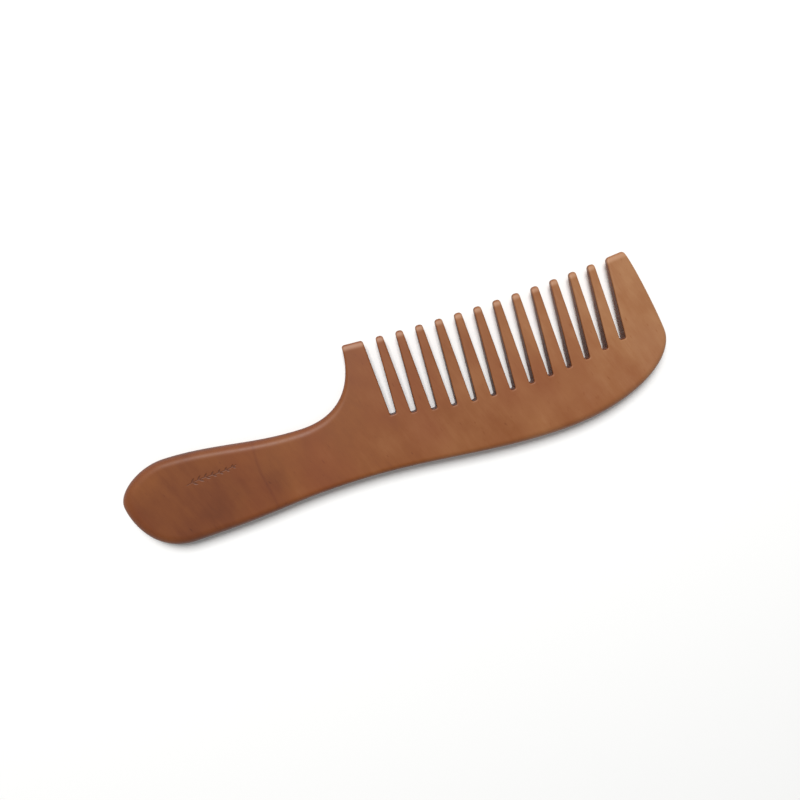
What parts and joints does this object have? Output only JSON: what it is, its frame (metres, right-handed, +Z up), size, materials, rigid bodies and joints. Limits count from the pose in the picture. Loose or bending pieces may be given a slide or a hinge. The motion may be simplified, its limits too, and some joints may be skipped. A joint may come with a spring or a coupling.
{
  "type": "wide tooth comb",
  "caption": "One-piece wooden wide tooth comb with a rounded handle, tapered teeth between two broad guard teeth, and a curved back.",
  "frame": {"origin": "centre of the comb's footprint, on the surface that it lies on", "axes": "+X along the comb from the handle to the head's end, +Y towards the tooth tips, +Z up out of the broad face"},
  "size_m": [0.1968, 0.0532, 0.0068],
  "materials": {
    "comb_wood": "hand sanded and waxed to a satin sheen"
  },
  "bodies": {
    "root": {"handle": "comb_wood", "neck": "comb_wood", "shoulder": "comb_wood", "spine_inner": "comb_wood", "spine_middle": "comb_wood", "spine_outer": "comb_wood", "guard_tooth_handle_side": "comb_wood", "guard_tooth_end": "comb_wood", "tooth_01": "comb_wood", "tooth_02": "comb_wood", "tooth_03": "comb_wood", "tooth_04": "comb_wood", "tooth_05": "comb_wood", "tooth_06": "comb_wood", "tooth_07": "comb_wood", "tooth_08": "comb_wood", "tooth_09": "comb_wood", "tooth_10": "comb_wood", "tooth_11": "comb_wood", "tooth_12": "comb_wood"}
  },
  "joints": []
}
